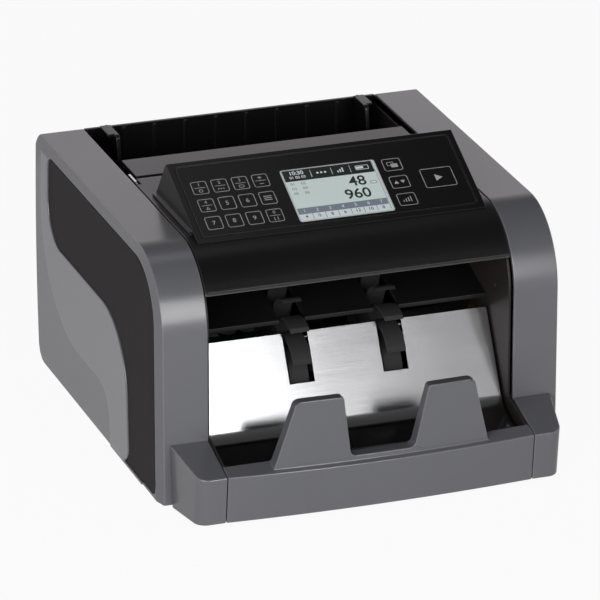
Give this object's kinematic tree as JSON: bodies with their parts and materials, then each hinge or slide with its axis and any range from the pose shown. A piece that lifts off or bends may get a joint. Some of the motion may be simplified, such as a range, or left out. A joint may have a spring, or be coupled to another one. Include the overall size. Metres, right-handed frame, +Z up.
{
  "type": "banknote counter",
  "caption": "Desktop banknote counter with grey side panels, a sloping keypad and display pod on a hinged cover, a rear hopper and a front stacker tray",
  "frame": {"origin": "on the bench at the feet's underside, at the middle of the machine's width and depth", "axes": "+X to the machine's right as the user faces it, +Y from the front to the back, +Z up"},
  "size_m": [0.258, 0.2892, 0.1851],
  "materials": {
    "panel_grey": "fine-textured moulded plastic",
    "inlay_dark": "fine-textured dark moulding",
    "cover_dark": "satin dark moulding",
    "pod_black": "glossy black moulding",
    "foil_black": "printed keypad foil",
    "key_black": "printed keypad foil over a pad",
    "display_glass": "clear window over a grey-green display",
    "polished_steel": "mirror-polished sheet",
    "zinc_steel": "bright zinc plated",
    "shaft_steel": "ground steel",
    "frame_paint": "dark satin powder coat",
    "pan_paint": "dark powder coat",
    "inner_black": "matt black moulding",
    "roller_rubber": "grooved rubber tread",
    "belt_rubber": "rubber belt",
    "foot_rubber": "soft rubber",
    "bush_bronze": "sintered bronze",
    "board_green": "circuit board with parts",
    "motor_steel": "plain motor can"
  },
  "bodies": {
    "chassis": {"base_pan": "pan_paint", "feet": "foot_rubber", "left_side_panel": "panel_grey", "right_side_panel": "panel_grey", "left_inlay": "inlay_dark", "right_inlay": "inlay_dark", "left_tray_end": "panel_grey", "right_tray_end": "panel_grey", "front_stop": "panel_grey", "stacker_plate": "polished_steel", "left_frame": "frame_paint", "right_frame": "frame_paint", "hinge_brackets": "zinc_steel", "hopper_lip": "cover_dark", "hopper_floor": "inner_black", "backrest": "cover_dark", "guide_rod": "shaft_steel", "rear_cover": "inner_black", "power_inlet": "inner_black", "main_board": "board_green", "drive_motor": "motor_steel", "drive_belts": "belt_rubber", "shaft_bushes": "bush_bronze", "lower_guide": "inner_black", "retard_rollers": "roller_rubber"},
    "left_guide": {"left_note_guide": "cover_dark"},
    "right_guide": {"right_note_guide": "cover_dark"},
    "cover": {"upper_cover": "cover_dark", "control_pod": "pod_black", "keypad_foil": "foil_black", "display_window": "display_glass", "control_board": "board_green", "upper_guide": "inner_black"},
    "pickup": {"pickup_shaft": "shaft_steel", "pickup_rollers": "roller_rubber"},
    "feed": {"feed_shaft": "shaft_steel", "feed_rollers": "roller_rubber"},
    "transport": {"transport_shaft": "shaft_steel", "transport_rollers": "roller_rubber"},
    "stacker": {"stacker_shaft": "shaft_steel", "stacker_wheels": "roller_rubber"},
    "motor_drive": {"motor_pulley": "shaft_steel"},
    "pinch": {"pinch_rollers": "roller_rubber"},
    "rocker": {"power_switch": "inner_black"},
    "key_1_pad": {"key_1": "key_black"},
    "key_2_pad": {"key_2": "key_black"},
    "key_3_pad": {"key_3": "key_black"},
    "key_add_pad": {"key_add": "key_black"},
    "key_4_pad": {"key_4": "key_black"},
    "key_5_pad": {"key_5": "key_black"},
    "key_6_pad": {"key_6": "key_black"},
    "key_batch_pad": {"key_batch": "key_black"},
    "key_7_pad": {"key_7": "key_black"},
    "key_8_pad": {"key_8": "key_black"},
    "key_9_pad": {"key_9": "key_black"},
    "key_0_pad": {"key_0": "key_black"},
    "key_mix_pad": {"key_mix": "key_black"},
    "key_sort_pad": {"key_sort": "key_black"},
    "key_count_pad": {"key_count": "key_black"},
    "key_start_pad": {"key_start": "key_black"}
  },
  "joints": [
    {"name": "cover_hinge", "type": "hinge", "parent": "chassis", "child": "cover", "pos_m": [0, 0.04414, 0.1545], "axis": [-1, 0, 0], "range_deg": [0, 80]},
    {"name": "left_guide_slide", "type": "slide", "parent": "chassis", "child": "left_guide", "axis": [1, 0, 0], "range_m": [-0.006, 0.025]},
    {"name": "right_guide_slide", "type": "slide", "parent": "chassis", "child": "right_guide", "axis": [-1, 0, 0], "range_m": [-0.006, 0.025]},
    {"name": "feed_spin", "type": "hinge", "parent": "chassis", "child": "feed", "pos_m": [0, 0.05764, 0.092], "axis": [1, 0, 0], "continuous": true},
    {"name": "pickup_spin", "type": "hinge", "parent": "chassis", "child": "pickup", "pos_m": [0, 0.10164, 0.093], "axis": [1, 0, 0], "continuous": true},
    {"name": "transport_spin", "type": "hinge", "parent": "chassis", "child": "transport", "pos_m": [0, 0.00164, 0.097], "axis": [1, 0, 0], "continuous": true},
    {"name": "stacker_spin", "type": "hinge", "parent": "chassis", "child": "stacker", "pos_m": [0, -0.04236, 0.076], "axis": [1, 0, 0], "continuous": true},
    {"name": "motor_spin", "type": "hinge", "parent": "chassis", "child": "motor_drive", "pos_m": [0, 0.01664, 0.04], "axis": [1, 0, 0], "continuous": true},
    {"name": "pinch_spin", "type": "hinge", "parent": "cover", "child": "pinch", "pos_m": [0, 0.00164, 0.122], "axis": [1, 0, 0], "continuous": true},
    {"name": "power_rocker", "type": "hinge", "parent": "chassis", "child": "rocker", "pos_m": [-0.018, 0.13664, 0.034], "axis": [1, 0, 0], "range_deg": [0, 14]},
    {"name": "key_1_press", "type": "slide", "parent": "cover", "child": "key_1_pad", "axis": [0, 0.4314, -0.9022], "range_m": [0, 0.0004], "stiffness_N_per_m": 1000},
    {"name": "key_2_press", "type": "slide", "parent": "cover", "child": "key_2_pad", "axis": [0, 0.4314, -0.9022], "range_m": [0, 0.0004], "stiffness_N_per_m": 1000},
    {"name": "key_3_press", "type": "slide", "parent": "cover", "child": "key_3_pad", "axis": [0, 0.4314, -0.9022], "range_m": [0, 0.0004], "stiffness_N_per_m": 1000},
    {"name": "key_add_press", "type": "slide", "parent": "cover", "child": "key_add_pad", "axis": [0, 0.4314, -0.9022], "range_m": [0, 0.0004], "stiffness_N_per_m": 1000},
    {"name": "key_4_press", "type": "slide", "parent": "cover", "child": "key_4_pad", "axis": [0, 0.4314, -0.9022], "range_m": [0, 0.0004], "stiffness_N_per_m": 1000},
    {"name": "key_5_press", "type": "slide", "parent": "cover", "child": "key_5_pad", "axis": [0, 0.4314, -0.9022], "range_m": [0, 0.0004], "stiffness_N_per_m": 1000},
    {"name": "key_6_press", "type": "slide", "parent": "cover", "child": "key_6_pad", "axis": [0, 0.4314, -0.9022], "range_m": [0, 0.0004], "stiffness_N_per_m": 1000},
    {"name": "key_batch_press", "type": "slide", "parent": "cover", "child": "key_batch_pad", "axis": [0, 0.4314, -0.9022], "range_m": [0, 0.0004], "stiffness_N_per_m": 1000},
    {"name": "key_7_press", "type": "slide", "parent": "cover", "child": "key_7_pad", "axis": [0, 0.4314, -0.9022], "range_m": [0, 0.0004], "stiffness_N_per_m": 1000},
    {"name": "key_8_press", "type": "slide", "parent": "cover", "child": "key_8_pad", "axis": [0, 0.4314, -0.9022], "range_m": [0, 0.0004], "stiffness_N_per_m": 1000},
    {"name": "key_9_press", "type": "slide", "parent": "cover", "child": "key_9_pad", "axis": [0, 0.4314, -0.9022], "range_m": [0, 0.0004], "stiffness_N_per_m": 1000},
    {"name": "key_0_press", "type": "slide", "parent": "cover", "child": "key_0_pad", "axis": [0, 0.4314, -0.9022], "range_m": [0, 0.0004], "stiffness_N_per_m": 1000},
    {"name": "key_mix_press", "type": "slide", "parent": "cover", "child": "key_mix_pad", "axis": [0, 0.4314, -0.9022], "range_m": [0, 0.0004], "stiffness_N_per_m": 1000},
    {"name": "key_sort_press", "type": "slide", "parent": "cover", "child": "key_sort_pad", "axis": [0, 0.4314, -0.9022], "range_m": [0, 0.0004], "stiffness_N_per_m": 1000},
    {"name": "key_count_press", "type": "slide", "parent": "cover", "child": "key_count_pad", "axis": [0, 0.4314, -0.9022], "range_m": [0, 0.0004], "stiffness_N_per_m": 1000},
    {"name": "key_start_press", "type": "slide", "parent": "cover", "child": "key_start_pad", "axis": [0, 0.4314, -0.9022], "range_m": [0, 0.0004], "stiffness_N_per_m": 1000}
  ],
  "couplings": [
    {"joint": "pickup_spin", "follows": "feed_spin", "ratio": 1},
    {"joint": "transport_spin", "follows": "feed_spin", "ratio": 1},
    {"joint": "stacker_spin", "follows": "feed_spin", "ratio": 0.33333},
    {"joint": "motor_spin", "follows": "feed_spin", "ratio": 2},
    {"joint": "pinch_spin", "follows": "feed_spin", "ratio": -1.6667}
  ]
}
